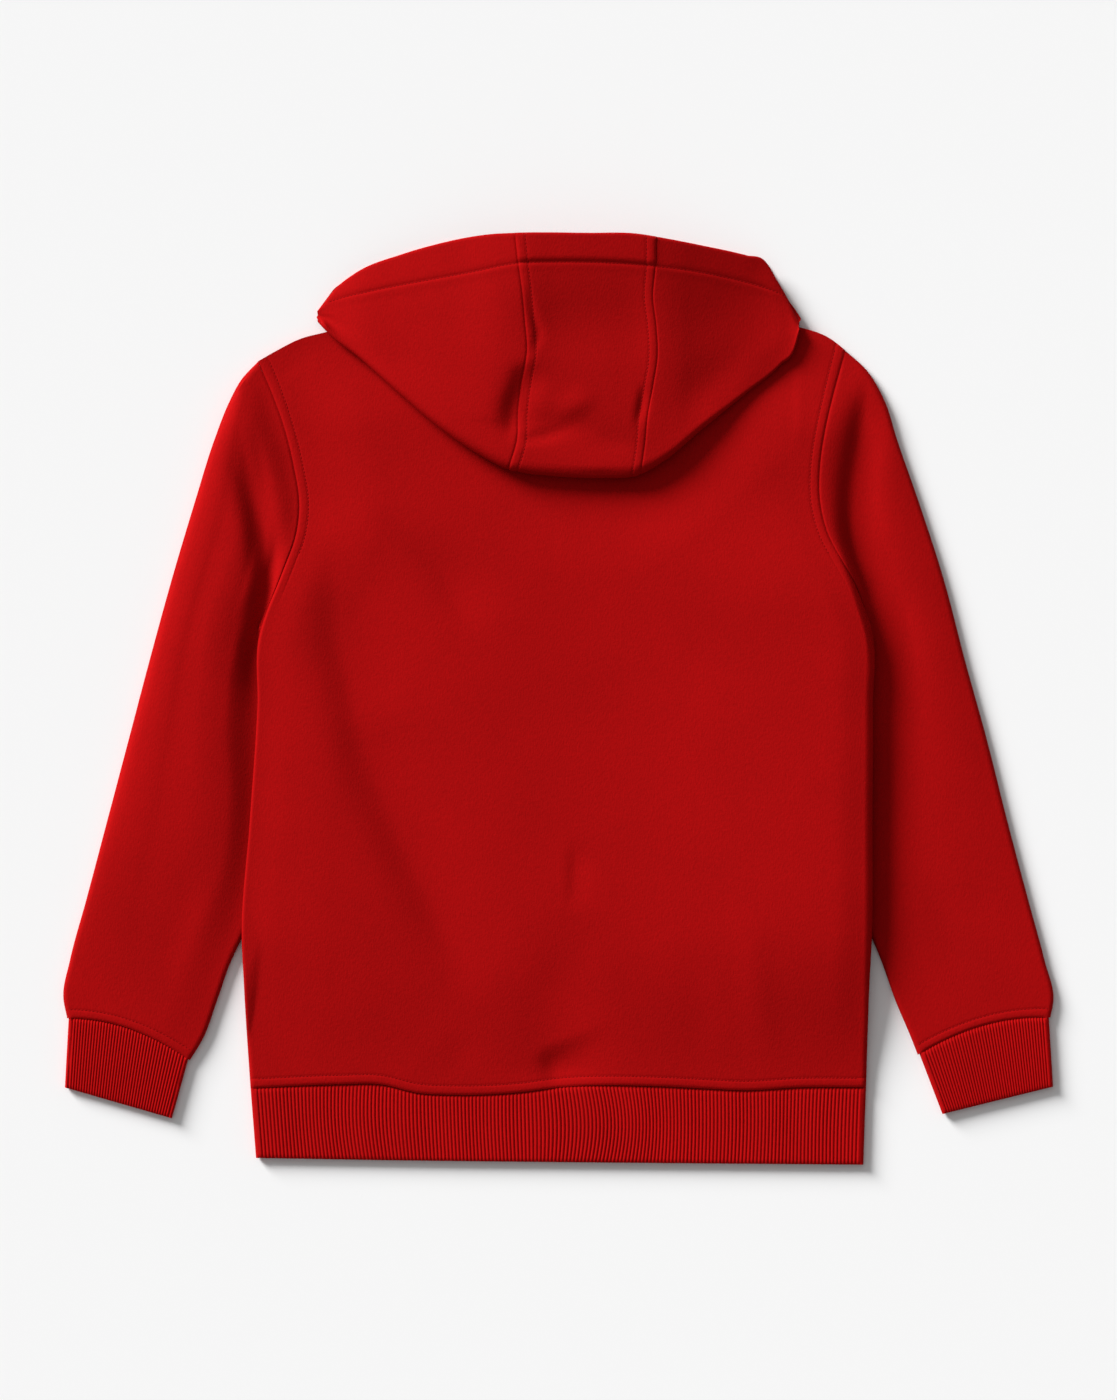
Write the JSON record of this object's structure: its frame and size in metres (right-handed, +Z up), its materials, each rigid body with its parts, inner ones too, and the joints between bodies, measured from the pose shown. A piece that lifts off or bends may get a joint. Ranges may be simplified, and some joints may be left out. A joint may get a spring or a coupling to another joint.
{
  "type": "kids hoodie",
  "caption": "Child's fleece pullover hoodie laid flat with its back up, hood resting on the back, with long sleeves, rib-knit cuffs and waistband.",
  "frame": {"origin": "on the surface that the hoodie lies on, under the middle of its overall box", "axes": "+X across the back towards its right-hand sleeve as seen from above, +Y from the hem to the hood, +Z up from the surface out of the back"},
  "size_m": [0.692, 0.6503, 0.0238],
  "materials": {
    "fleece": "smooth knit face of brushed sweatshirt fleece, matte with a faint sheen",
    "rib_knit": "matte rib knit with fine vertical ribs"
  },
  "bodies": {
    "root": {"front_panel": "fleece", "back_panel": "fleece", "sleeve_left": "fleece", "sleeve_right": "fleece", "cuff_left": "rib_knit", "cuff_right": "rib_knit", "hem_band": "rib_knit", "hood_side_left": "fleece", "hood_side_right": "fleece", "hood_centre": "fleece"}
  },
  "joints": []
}
